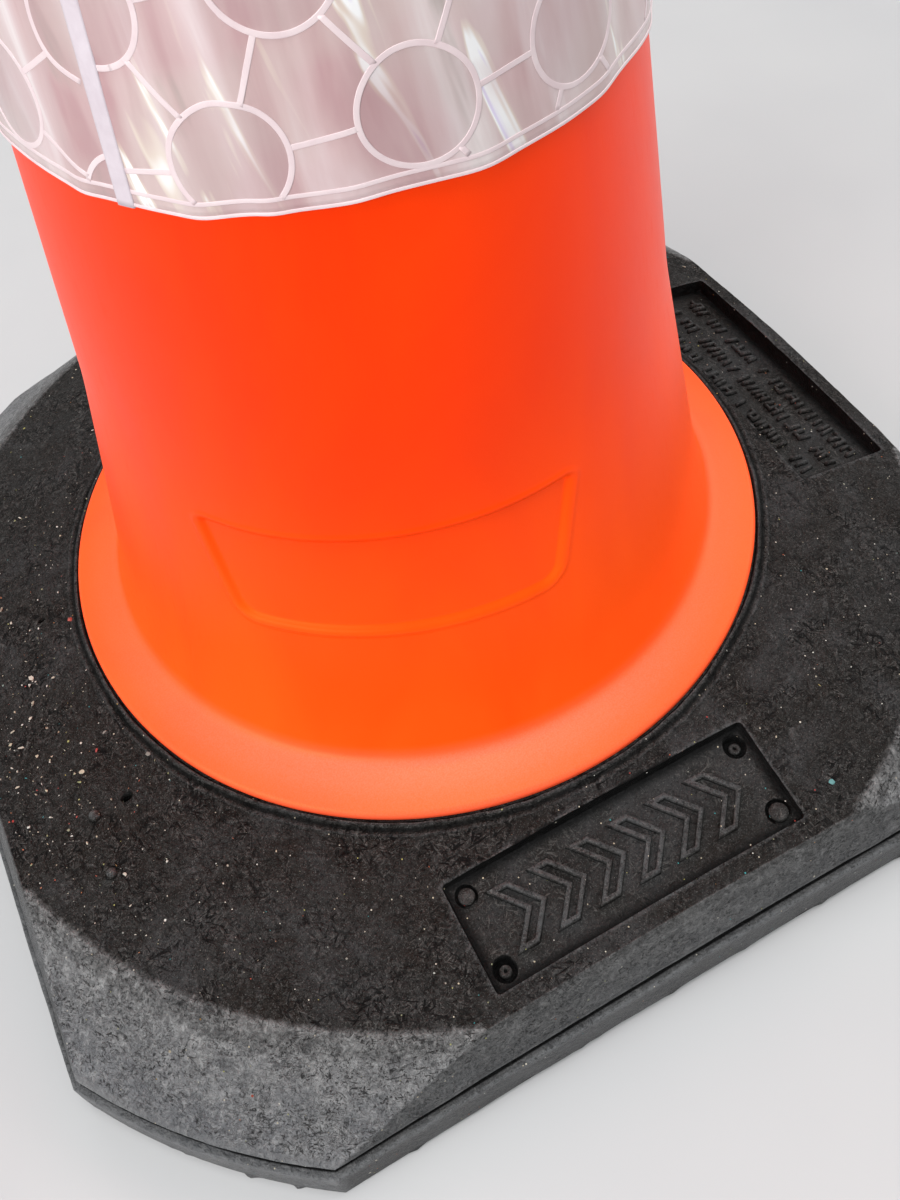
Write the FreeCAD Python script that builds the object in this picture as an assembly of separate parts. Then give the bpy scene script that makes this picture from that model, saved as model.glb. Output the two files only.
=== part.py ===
"""Two-part traffic cone, 750 mm tall, on a 430 mm recycled-rubber base.

Millimetres, +Z up.  The origin is the centre of the footprint on the ground.
The reflective sleeve lifts off upwards along +Z; everything else stays together.
"""
import FreeCAD, Part
import math
import os

V = FreeCAD.Vector
UP = V(0, 0, 1)
ORIGIN = V(0, 0, 0)

# ---- rubber base: outline -------------------------------------------------------------
base_half = 215.0             # half the 430 mm footprint
corner_radius = 258.0         # the four corners are cut by one circle about the cone's axis
lip_height = 19.0             # upright lip round the foot of the base
groove_height = 2.5           # dark line moulded above the lip
groove_depth = 3.0            # measured in from the ridge above it
ridge_inset = 3.0             # ridge above the groove, measured in from the lip
crest_radius = 219.0          # where the corner slopes meet the top
crest_height = 47.0
crest_half = 204.5            # half-width of the top, between two straight sides
arch_rise = 5.0               # each side is relieved between its two corner feet

# ---- rubber base: top -----------------------------------------------------------------
seat_height = 61.0            # flat ring that the cone's flange rests on
seat_radius = 147.6
moat_radius = 149.5           # narrow groove outside the seat
moat_depth = 1.5
rim_radius = 151.2            # thin raised rim outside the groove
rim_rise = 1.4
top_radius = 151.8            # start of the gently crowned top
top_height = 60.8
hole_radius = 112.3           # hole that the cone's skirt drops through
ledge_height = 14.0           # the skirt's lugs hook under this ledge
ledge_radius = 119.0

# ---- rubber base: two moulded panels --------------------------------------------------
front_panel_x = (-68.0, 59.5)
front_panel_y = (-197.0, -157.0)
front_panel_depth = 5.0
side_panel_x = (152.5, 197.5)
side_panel_y = (-76.0, 60.0)
side_panel_depth = 9.0
imprint_inset = 6.5           # round mould marks: their centres, in from the panel's corners
raised_imprint = 3.4          # radius of the two raised marks
imprint_rise = 0.8
sunk_imprint = 4.6            # radius of the two recessed marks
imprint_depth = 3.0
imprint_root = 1.0            # how far a raised mark runs on into the panel's floor

# ---- orange body ----------------------------------------------------------------------
total_height = 750.0
wall_radius = 124.0           # radius of the upper wall extrapolated to the ground
taper = 0.105                 # loss of radius per mm of height, upper wall
knee_height = 190.0           # the wall spreads more steeply below this height
lower_taper = 0.1735
wall = 3.5
flange_radius = 147.0
flange_edge = 65.4            # top of the flange's outer edge
flange_round = 1.8
flange_foot = 4.5             # width of the ring that touches the seat
crease_radius = 127.5         # line where the flange turns up into the body
crease_height = 70.5
flare_top = 100.0             # the flare runs out into the wall here
skirt_clearance = 0.4
skirt_bottom = 3.5            # the skirt ends this far above the road
skirt_top = 63.0
liner_top = 84.0              # the inner wall runs down to here, then in to the skirt
shoulder_height = 690.0       # top of the straight wall
neck_radius = 40.0            # finger groove under the collar
neck_low = 700.0
neck_high = 716.0
collar_radius = 45.0
collar_low = 721.0
collar_high = 743.0
collar_round = 7.0
socket_radius = 30.0
socket_floor = 700.0

# ---- snap lugs on the skirt -----------------------------------------------------------
lug_count = 6
lug_angle = 14.0              # degrees of the skirt covered by one lug
lug_reach = 4.4
lug_top = 13.7
lug_land = 2.2
tongue_margin = 3.0           # degrees from a lug to the slit beside it
slit_width = 2.0
slit_top = 40.0

# ---- recessed label panel on the body -------------------------------------------------
label_angle = -113.8          # degrees about Z
label_low = 136.0
label_high = 175.5
label_half_low = 53.7
label_half_high = 60.0
label_depth = 1.2
label_round_low = 5.0
label_round_high = 3.0
label_margin = 5.0            # the cutter runs this far past the label's low and high edges

# ---- reflective sleeve ----------------------------------------------------------------
sleeve_low = 291.0
sleeve_high = 611.0
sleeve_gap = 0.4
backing_thickness = 0.5
film_gap = 0.1
film_thickness = 0.5
seam_gap = 0.2
seam_angle = -144.0
seam_width = 5.0
seam_thickness = 0.5


def outer_radius(z):
    """Radius of the outer wall at height z, above or below the knee."""
    if z < knee_height:
        return wall_radius - taper * knee_height + lower_taper * (knee_height - z)
    return wall_radius - taper * z


def point(radius, z):
    """A point of a profile in the XZ plane."""
    return V(radius, 0, z)


def revolve(edges):
    """Full turn of a closed profile about Z."""
    return Part.Face(Part.Wire(edges)).revolve(ORIGIN, UP, 360)


def chain(points):
    """Straight edges through the points, closed."""
    return Part.makePolygon(points + points[:1]).Edges


def line(start, end):
    return Part.LineSegment(start, end).toShape()


def arc(start, middle, end):
    return Part.Arc(start, middle, end).toShape()


def block(x, y, z):
    """Box from (low, high) pairs."""
    size = [pair[1] - pair[0] for pair in (x, y, z)]
    return Part.makeBox(*size, V(x[0], y[0], z[0]))


# ---- rubber base ----------------------------------------------------------------------
def outline_prism(half, radius, low, high):
    """Square with its corners cut by a circle, from height low to high."""
    square = block((-half, half), (-half, half), (low, high))
    return square.common(Part.makeCylinder(radius, high - low, V(0, 0, low)))


def square_frustum(low_half, low, high_half, high):
    """Square that narrows with height."""
    wires = []
    for half, z in ((low_half, low), (high_half, high)):
        corners = [V(-half, -half, z), V(half, -half, z), V(half, half, z), V(-half, half, z)]
        wires.append(Part.makePolygon(corners + corners[:1]))
    return Part.makeLoft(wires, True, True)


def base_top():
    """Sloping sides, corner slopes and crowned top, with the flange's seat."""
    low = lip_height + groove_height
    ridge_half = base_half - ridge_inset
    lean = (ridge_half - crest_half) / (crest_height - low)
    high = seat_height + rim_rise + 1
    sides = square_frustum(ridge_half, low, ridge_half - lean * (high - low), high)
    profile = chain([
        point(0, low),
        point(corner_radius - ridge_inset, low),
        point(crest_radius, crest_height),
        point(top_radius, top_height),
        point(rim_radius, seat_height + rim_rise),
        point(moat_radius, seat_height + rim_rise),
        point(moat_radius, seat_height - moat_depth),
        point(seat_radius, seat_height - moat_depth),
        point(seat_radius, seat_height),
        point(0, seat_height),
    ])
    return sides.common(revolve(profile))


def tilted_block(across, along, depth, turn):
    """Pocket cutter whose floor follows the crowned top on one side of the base.

    The pocket is laid out on the side that faces -Y and then turned about Z.
    """
    slope = (top_height - crest_height) / (crest_radius - top_radius)
    middle = (along[0] + along[1]) / 2
    surface = crest_height + slope * (crest_radius + middle)
    length = (along[1] - along[0]) * math.hypot(1, slope)
    cutter = block(across, (-length / 2, length / 2), (-depth, 4 * depth))
    cutter.rotate(ORIGIN, V(1, 0, 0), math.degrees(math.atan(slope)))
    cutter.translate(V(0, middle, surface))
    cutter.rotate(ORIGIN, UP, turn)
    return cutter


def imprint(x, y, radius, low, high):
    """Upright disc at the floor of the front panel, from low to high above that floor."""
    slope = (top_height - crest_height) / (crest_radius - top_radius)
    floor = crest_height + slope * (crest_radius + y) - front_panel_depth
    return Part.makeCylinder(radius, high - low, V(x, y, floor + low))


def rubber_base():
    lip = outline_prism(base_half, corner_radius, 0, lip_height)
    groove_inset = ridge_inset + groove_depth
    groove = outline_prism(base_half - groove_inset, corner_radius - groove_inset,
                           lip_height, lip_height + groove_height)
    solid = lip.fuse([groove, base_top()])
    solid = solid.cut(tilted_block(front_panel_x, front_panel_y, front_panel_depth, 0))
    across = (side_panel_y[0], side_panel_y[1])
    along = (-side_panel_x[1], -side_panel_x[0])
    solid = solid.cut(tilted_block(across, along, side_panel_depth, 90))
    left, right = front_panel_x[0] + imprint_inset, front_panel_x[1] - imprint_inset
    near, far = front_panel_y[0] + imprint_inset, front_panel_y[1] - imprint_inset
    for x, y in ((left, far), (right, near)):
        solid = solid.fuse(imprint(x, y, raised_imprint, -imprint_root, imprint_rise))
    for x, y in ((left, near), (right, far)):
        solid = solid.cut(imprint(x, y, sunk_imprint, -imprint_depth, imprint_depth))
    # arches between the corner feet: one very large cylinder along each horizontal axis
    span = math.sqrt(corner_radius ** 2 - base_half ** 2)
    arch_radius = (span ** 2 + arch_rise ** 2) / (2 * arch_rise)
    for axis in (V(1, 0, 0), V(0, 1, 0)):
        start = V(0, 0, arch_rise - arch_radius) - axis * corner_radius
        solid = solid.cut(Part.makeCylinder(arch_radius, 2 * corner_radius, start, axis))
    below = V(0, 0, -1)
    solid = solid.cut(Part.makeCylinder(hole_radius, seat_height + 2, below))
    solid = solid.cut(Part.makeCylinder(ledge_radius, ledge_height + 1, below))
    return solid.removeSplitter()


# ---- orange body ----------------------------------------------------------------------
def flare():
    """Arc from the crease up to the wall, tangent to the wall."""
    low = point(crease_radius, crease_height)
    high = point(outer_radius(flare_top), flare_top)
    chord = high.sub(low)
    turn = math.atan2(-chord.x, chord.z) - math.atan(lower_taper)
    radius = chord.Length / (2 * math.sin(turn))
    sag = radius * (1 - math.cos(turn))
    inward = V(-chord.z, 0, chord.x).normalize()
    return arc(low, (low + high) * 0.5 + inward * sag, high)


def body_shell():
    """One closed profile, up the outside and down the inside, turned about Z."""
    skirt_outer = hole_radius - skirt_clearance
    skirt_inner = skirt_outer - wall
    corner = math.sqrt(0.5)
    shoulder = outer_radius(shoulder_height)
    knee = outer_radius(knee_height)
    foot = flange_radius - flange_foot
    edge_low = flange_edge - flange_round
    edge_in = flange_radius - flange_round
    collar_in = collar_radius - collar_round
    edges = [
        line(point(skirt_inner, skirt_bottom), point(skirt_outer, skirt_bottom)),
        line(point(skirt_outer, skirt_bottom), point(skirt_outer, skirt_top)),
        line(point(skirt_outer, skirt_top), point(skirt_outer + wall, crease_height - wall)),
        line(point(skirt_outer + wall, crease_height - wall), point(crease_radius, crease_height - wall)),
        line(point(crease_radius, crease_height - wall), point(foot, seat_height + flange_round / 2)),
        line(point(foot, seat_height + flange_round / 2), point(foot, seat_height)),
        line(point(foot, seat_height), point(flange_radius, seat_height)),
        line(point(flange_radius, seat_height), point(flange_radius, edge_low)),
        arc(point(flange_radius, edge_low),
            point(edge_in + flange_round * corner, edge_low + flange_round * corner),
            point(edge_in, flange_edge)),
        line(point(edge_in, flange_edge), point(crease_radius, crease_height)),
        flare(),
        line(point(outer_radius(flare_top), flare_top), point(knee, knee_height)),
        line(point(knee, knee_height), point(shoulder, shoulder_height)),
        line(point(shoulder, shoulder_height), point(neck_radius, neck_low)),
        line(point(neck_radius, neck_low), point(neck_radius, neck_high)),
        line(point(neck_radius, neck_high), point(collar_radius, collar_low)),
        line(point(collar_radius, collar_low), point(collar_radius, collar_high)),
        arc(point(collar_radius, collar_high),
            point(collar_in + collar_round * corner, collar_high + collar_round * corner),
            point(collar_in, total_height)),
        line(point(collar_in, total_height), point(socket_radius, total_height)),
        line(point(socket_radius, total_height), point(socket_radius, socket_floor)),
        line(point(socket_radius, socket_floor), point(shoulder - 2 * wall, shoulder_height - wall)),
        line(point(shoulder - 2 * wall, shoulder_height - wall),
             point(outer_radius(shoulder_height - 3 * wall) - wall, shoulder_height - 3 * wall)),
        line(point(outer_radius(shoulder_height - 3 * wall) - wall, shoulder_height - 3 * wall),
             point(knee - wall, knee_height)),
        line(point(knee - wall, knee_height), point(outer_radius(liner_top) - wall, liner_top)),
        line(point(outer_radius(liner_top) - wall, liner_top), point(skirt_inner, skirt_top)),
        line(point(skirt_inner, skirt_top), point(skirt_inner, skirt_bottom)),
    ]
    return revolve(edges)


def label_cutter():
    """Shallow recess with a trapezoid outline, rounded more at its lower corners."""
    corners = [
        (-label_half_low, label_low, label_round_low),
        (label_half_low, label_low, label_round_low),
        (label_half_high, label_high, label_round_high),
        (-label_half_high, label_high, label_round_high),
    ]
    inner = outer_radius(label_high) / 2
    count = len(corners)
    edges = []
    joints = []
    for index, (y, z, radius) in enumerate(corners):
        here = V(inner, y, z)
        back = V(inner, *corners[index - 1][:2]).sub(here).normalize()
        ahead = V(inner, *corners[(index + 1) % count][:2]).sub(here).normalize()
        half_turn = back.getAngle(ahead) / 2
        reach = radius / math.tan(half_turn)
        bisector = (back + ahead).normalize()
        centre = here + bisector * (radius / math.sin(half_turn))
        start, end = here + back * reach, here + ahead * reach
        edges.append(arc(start, centre - bisector * radius, end))
        joints.append((start, end))
    for index in range(count):
        edges.append(line(joints[index][1], joints[(index + 1) % count][0]))
    outline = Part.Wire(Part.__sortEdges__(edges))
    prism = Part.Face(outline).extrude(V(wall_radius, 0, 0))
    low, high = label_low - label_margin, label_high + label_margin
    band = revolve(chain([
        point(outer_radius(low) - label_depth, low),
        point(outer_radius(low) + wall, low),
        point(outer_radius(high) + wall, high),
        point(outer_radius(high) - label_depth, high),
    ]))
    cutter = prism.common(band)
    cutter.rotate(ORIGIN, UP, label_angle)
    return cutter


def lug():
    """Wedge that hooks under the base's ledge, centred on +X."""
    skirt_outer = hole_radius - skirt_clearance
    root = skirt_outer - wall / 2
    profile = Part.Face(Part.Wire(chain([
        point(root, lug_top),
        point(skirt_outer + lug_reach, lug_top),
        point(skirt_outer + lug_reach, lug_top - lug_land),
        point(skirt_outer, skirt_bottom),
        point(root, skirt_bottom),
    ])))
    profile.rotate(ORIGIN, UP, -lug_angle / 2)
    return profile.revolve(ORIGIN, UP, lug_angle)


def cone_body():
    shell = body_shell().cut(label_cutter())
    lugs = []
    slits = []
    for index in range(lug_count):
        turn = 360.0 * index / lug_count
        wedge = lug()
        wedge.rotate(ORIGIN, UP, turn)
        lugs.append(wedge)
        for side in (-1, 1):
            slit = block((hole_radius - 3 * wall, hole_radius + wall),
                         (-slit_width / 2, slit_width / 2), (0, slit_top))
            slit.rotate(ORIGIN, UP, turn + side * (lug_angle / 2 + tongue_margin))
            slits.append(slit)
    return shell.fuse(lugs).cut(slits)


# ---- reflective sleeve ----------------------------------------------------------------
def sleeve_layer(inset, thickness):
    """Thin cone that stands inset outside the body's wall."""
    low, high = sleeve_low, sleeve_high
    return revolve(chain([
        point(outer_radius(low) + inset, low),
        point(outer_radius(low) + inset + thickness, low),
        point(outer_radius(high) + inset + thickness, high),
        point(outer_radius(high) + inset, high),
    ]))


def sleeve_seam():
    """Lapped strip down the back of the join, a narrow slice of one more layer."""
    inset = sleeve_gap + backing_thickness + film_gap + film_thickness + seam_gap
    layer = sleeve_layer(inset, seam_thickness)
    slice_box = block((0, wall_radius), (-seam_width / 2, seam_width / 2), (sleeve_low - 1, sleeve_high + 1))
    slice_box.rotate(ORIGIN, UP, seam_angle)
    return layer.common(slice_box)


nodes = {
    "rubber_base": rubber_base(),
    "cone_body": cone_body(),
    "sleeve_backing": sleeve_layer(sleeve_gap, backing_thickness),
    "sleeve_film": sleeve_layer(sleeve_gap + backing_thickness + film_gap, film_thickness),
    "sleeve_seam": sleeve_seam(),
}

os.makedirs("parts", exist_ok=True)
for name, shape in nodes.items():
    shape.exportStep("parts/" + name + ".step")
    print(name, shape.ShapeType, len(shape.Solids), shape.isValid(), round(shape.Volume / 1000, 1), "cm3")
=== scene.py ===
"""Looks of a two-part traffic cone: rubber base, orange body and slip-on reflective sleeve.

Lengths named here are in millimetres, in the CAD frame; every mesh is made in metres.
"""
import math
import bmesh
import bpy
import numpy as np
from mathutils import Matrix, Vector


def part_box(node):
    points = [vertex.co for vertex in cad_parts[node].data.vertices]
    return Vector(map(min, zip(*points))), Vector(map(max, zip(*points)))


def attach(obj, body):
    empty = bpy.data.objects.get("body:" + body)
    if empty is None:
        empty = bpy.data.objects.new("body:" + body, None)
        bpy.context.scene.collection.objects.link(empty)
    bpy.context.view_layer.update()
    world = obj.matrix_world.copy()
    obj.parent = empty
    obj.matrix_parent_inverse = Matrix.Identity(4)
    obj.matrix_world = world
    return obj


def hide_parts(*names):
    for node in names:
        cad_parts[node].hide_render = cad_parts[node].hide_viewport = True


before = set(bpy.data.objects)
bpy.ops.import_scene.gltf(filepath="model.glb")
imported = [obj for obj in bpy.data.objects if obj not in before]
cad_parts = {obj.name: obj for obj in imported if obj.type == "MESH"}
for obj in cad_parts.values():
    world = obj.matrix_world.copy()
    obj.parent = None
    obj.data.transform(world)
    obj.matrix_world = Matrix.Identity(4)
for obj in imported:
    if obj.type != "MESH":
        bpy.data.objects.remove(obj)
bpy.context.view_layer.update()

MM = 0.001
TAU = 2 * math.pi


def size_of(node):
    """Lowest and highest corner of a CAD node, in millimetres."""
    low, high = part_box(node)
    return np.array(low) / MM, np.array(high) / MM


base_high = size_of("rubber_base")[1]
body_low, body_high = size_of("cone_body")
sleeve_low, sleeve_high = size_of("sleeve_backing")

# ---- sizes of the base, as in the CAD model -------------------------------------------
BASE_HALF = base_high[0]
CORNER_RADIUS = 258.0
LIP_HEIGHT = 19.0
RIDGE_INSET = 3.0
GROOVE_DEPTH = 2.8
GROOVE_FOOT = 0.8
GROOVE_HEIGHT = 2.5
CREST_HALF = 204.5
CREST_RADIUS = 219.0
CREST_HEIGHT = 47.0
TOP_RADIUS = 152.2
TOP_HEIGHT = 60.8
CROWN = (TOP_HEIGHT - CREST_HEIGHT) / (CREST_RADIUS - TOP_RADIUS)
ARCH_RISE = 5.0
SEAT_HEIGHT = 61.0
HOLE_RADIUS = 112.3
SKIRT_LOW = 3.5
LEDGE_RADIUS = 119.0
LEDGE_HEIGHT = 14.0
MOAT_RADIUS = 147.7
RIM_RADIUS = 148.4
FRONT_PANEL = (-68.0, 59.5, -197.0, -157.0)
FRONT_DEPTH = 5.0
SIDE_PANEL = (152.5, 197.5, -76.0, 60.0)
SIDE_DEPTH = 9.0

# ---- sizes of the body ----------------------------------------------------------------
WALL_RADIUS = 124.0
TAPER = 0.105
KNEE_HEIGHT = 190.0
KNEE_SOFTNESS = 4.0
LOWER_TAPER = 0.1735
WALL = 3.5
FLANGE_RADIUS = (body_high[0] - body_low[0]) / 2
TOTAL_HEIGHT = body_high[2]
LABEL_ANGLE = -113.8
LABEL_LOW, LABEL_HIGH = 136.0, 175.5
LABEL_HALF_LOW, LABEL_HALF_HIGH = 53.7, 60.0
LABEL_DEPTH = 1.6
# Angle round the body at which the painted sheen on the flange is strongest.
SHEEN_ANGLE = -112.0
NECK_RADIUS = 40.0
COLLAR_RADIUS = 45.0
SOCKET_RADIUS = 30.0

# ---- sizes of the sleeve --------------------------------------------------------------
SLEEVE_LOW, SLEEVE_HIGH = sleeve_low[2], sleeve_high[2]
SEAM_ANGLE = -144.0


# ---- mesh helpers ---------------------------------------------------------------------
def outer_radius(z):
    """Radius of the body's wall at height z; below the knee it spreads more steeply."""
    below = KNEE_SOFTNESS * np.logaddexp(0, (KNEE_HEIGHT - z) / KNEE_SOFTNESS)
    return WALL_RADIUS - TAPER * z + (LOWER_TAPER - TAPER) * below


def waves(points, wavelength, seed, count=20):
    """Smooth noise of about unit size: seeded plane waves in every direction."""
    rng = np.random.default_rng(seed)
    direction = rng.normal(size=(count, 3))
    direction /= np.linalg.norm(direction, axis=1)[:, None]
    k = direction * (TAU / wavelength * rng.uniform(0.6, 1.5, count))[:, None]
    phase = rng.uniform(0, TAU, count)
    return np.cos(points @ k.T + phase).sum(axis=1) / math.sqrt(count / 2)


def smoothstep(low, high, value):
    """Eases from 0 at low to 1 at high."""
    t = np.clip((value - low) / (high - low), 0, 1)
    return t * t * (3 - 2 * t)


def grid_quads(rows, columns, close_rows=False, close_columns=True):
    """Quads of a grid whose points are stored row by row."""
    r = np.arange(rows if close_rows else rows - 1)[:, None]
    c = np.arange(columns if close_columns else columns - 1)[None, :]
    below, right = (r + 1) % rows, (c + 1) % columns
    corners = (r * columns + c, r * columns + right, below * columns + right, below * columns + c)
    return np.stack(corners, axis=-1).reshape(-1, 4)


def capped(rows):
    """Points and faces of a closed solid through rows of points, flat at both ends."""
    count = len(rows[0])
    faces = grid_quads(len(rows), count).tolist()
    faces.append(list(range(count))[::-1])
    faces.append(list(range((len(rows) - 1) * count, len(rows) * count)))
    return np.concatenate(rows), faces


def bend(start, corner, end, t):
    """Point at share t of the curve that rounds a corner off."""
    return (1 - t) ** 2 * start + 2 * t * (1 - t) * corner + t ** 2 * end


def facing_out(points, faces):
    """The faces of a closed shell, turned over if its volume comes out negative."""
    volume = 0.0
    for corners in sorted({len(face) for face in faces}):
        index = np.array([face for face in faces if len(face) == corners])
        for k in range(1, corners - 1):
            a, b, c = points[index[:, 0]], points[index[:, k]], points[index[:, k + 1]]
            volume += float((a * np.cross(b, c)).sum())
    if volume < 0:
        faces = [list(face)[::-1] for face in faces]
    return faces


def add_object(name, points, faces, smooth=True):
    """Mesh object from points in millimetres."""
    mesh = bpy.data.meshes.new(name)
    mesh.from_pydata((np.asarray(points) * MM).tolist(), [], [list(map(int, face)) for face in faces])
    mesh.polygons.foreach_set("use_smooth", [smooth] * len(mesh.polygons))
    mesh.update()
    made = bpy.data.objects.new(name, mesh)
    bpy.context.scene.collection.objects.link(made)
    return made


def read_points(made):
    """Vertices and their normals, in millimetres."""
    count = len(made.data.vertices)
    points, normals = np.empty(count * 3), np.empty(count * 3)
    made.data.vertices.foreach_get("co", points)
    made.data.vertex_normals.foreach_get("vector", normals)
    return points.reshape(-1, 3) / MM, normals.reshape(-1, 3)


def write_points(made, points):
    """Moves the vertices to points in millimetres."""
    made.data.vertices.foreach_set("co", (points * MM).ravel())
    made.data.update()


def paint(made, name, values):
    """Stores one number per vertex for the materials, over any stored before."""
    attributes = made.data.attributes
    layer = attributes.get(name) or attributes.new(name, "FLOAT", "POINT")
    layer.data.foreach_set("value", np.asarray(values, dtype=np.float32))


def painted(made, name):
    """The numbers that paint stored."""
    values = np.empty(len(made.data.vertices))
    made.data.attributes[name].data.foreach_get("value", values)
    return values


class Pile:
    """Several closed shells gathered into one mesh."""

    def __init__(self):
        self.points, self.faces, self.edges, self.count = [], [], [], 0

    def add(self, points, faces, edge_light_and_shade=0.0):
        """The painted light and shade is one number or one per point: 1 on an exposed edge, lighter from wear
        and a painted highlight; -1 deep in a corner, painted dark as shade.
        """
        points = np.asarray(points, dtype=float)
        self.points.append(points)
        # edges keeps each point's painted light and shade.
        self.edges.append(np.broadcast_to(edge_light_and_shade, len(points)))
        for face in facing_out(points, faces):
            self.faces.append([int(i) + self.count for i in face])
        self.count += len(points)

    def build(self, name, smooth=True):
        return add_object(name, np.concatenate(self.points), self.faces, smooth)


def cut(made, cutter, sharp_degrees=35):
    """Subtracts cutter from made, then marks the edges that are sharp."""
    tool = made.modifiers.new("cut", "BOOLEAN")
    tool.operation = "DIFFERENCE"
    tool.solver = "EXACT"
    tool.object = cutter
    graph = bpy.context.evaluated_depsgraph_get()
    result = bpy.data.meshes.new_from_object(made.evaluated_get(graph))
    made.modifiers.remove(tool)
    made.data = result
    bpy.data.objects.remove(cutter)
    made.data.polygons.foreach_set("use_smooth", [True] * len(made.data.polygons))
    made.data.set_sharp_from_angle(angle=math.radians(sharp_degrees))


def finish_piece(made, body, slot, looks, *nodes):
    """Gives a piece its material and its body, and hides the CAD nodes that it stands for."""
    made.data.materials.clear()
    made.data.materials.append(looks)
    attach(made, body)
    if nodes:
        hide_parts(*nodes)


# ---- rubber base ----------------------------------------------------------------------
SIDE_STEPS, ARC_STEPS = 80, 72


def outline(half, radius):
    """Square with its corners cut by a circle: points, and how far along its side each is.

    The second result is 0 in the middle of a side and 1 at its ends and on the corners.
    """
    end = math.sqrt(radius ** 2 - half ** 2)
    along = np.linspace(-1, 1, SIDE_STEPS, endpoint=False)
    angle = np.linspace(math.atan2(end, half), math.atan2(half, end), ARC_STEPS, endpoint=False)
    x = np.concatenate([np.full(SIDE_STEPS, half), radius * np.cos(angle)])
    y = np.concatenate([end * along, radius * np.sin(angle)])
    share = np.concatenate([np.abs(along), np.ones(ARC_STEPS)])
    sides = [(x, y), (-y, x), (-x, -y), (y, -x)]
    return np.stack([np.concatenate([s[k] for s in sides]) for k in (0, 1)], axis=1), np.tile(share, 4)


def crowned(x, y):
    """Height of the gently crowned top of the base."""
    return CREST_HEIGHT + CROWN * (CREST_RADIUS - np.hypot(x, y))


def underside(x, y):
    """Height of the arched underside, which touches the ground at the four corners."""
    span = math.sqrt(CORNER_RADIUS ** 2 - BASE_HALF ** 2)
    radius = (span ** 2 + ARCH_RISE ** 2) / (2 * ARCH_RISE)
    arches = [np.sqrt(radius ** 2 - np.minimum(np.abs(t), span) ** 2) + ARCH_RISE - radius for t in (x, y)]
    return np.maximum(*arches)


def ring(xy, z):
    """Points of a flat outline at a height, or at one height each."""
    return np.column_stack([xy, np.broadcast_to(z, len(xy))])


def rounded_rows(keys):
    """Rows through key rings; each key is (ring, rounding, rows to the next key, wear and sheen, light and
    shade).

    Wear and sheen, and light and shade, are returned row by row. Wear and sheen is real wear with painted
    sheen on the slopes; light and shade is 1 on an exposed edge, lighter from wear and a painted highlight,
    and -1 deep in a groove, painted dark as shade.
    """
    rows, wear_and_sheen, edge_light_and_shade = [], [], []
    for index, (here, rounding, steps, here_wear_and_sheen, here_light_and_shade) in enumerate(keys):
        ahead, ahead_rounding, _, ahead_wear_and_sheen, ahead_light_and_shade = keys[(index + 1) % len(keys)]
        back = keys[index - 1][0] - here
        front = ahead - here
        back_length = np.linalg.norm(back, axis=1)[:, None] + 1e-9
        front_length = np.linalg.norm(front, axis=1)[:, None] + 1e-9
        start = here + back / back_length * np.minimum(rounding, 0.45 * back_length)
        end = here + front / front_length * np.minimum(rounding, 0.45 * front_length)
        for t in (np.linspace(0, 1, 5) if np.max(rounding) > 0 else [0.5]):
            rows.append(bend(start, here, end, t))
            wear_and_sheen.append(here_wear_and_sheen)
            edge_light_and_shade.append(here_light_and_shade)
        goal = ahead - front / front_length * np.minimum(ahead_rounding, 0.45 * front_length)
        for t in np.linspace(0, 1, steps + 2)[1:-1]:
            rows.append((1 - t) * end + t * goal)
            wear_and_sheen.append(here_wear_and_sheen + (ahead_wear_and_sheen - here_wear_and_sheen) * min(1.0, t * steps / 4))
            edge_light_and_shade.append((here_light_and_shade + ahead_light_and_shade) / 2 if here_light_and_shade * ahead_light_and_shade > 0 else 0.0)
    return rows, wear_and_sheen, edge_light_and_shade


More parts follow.
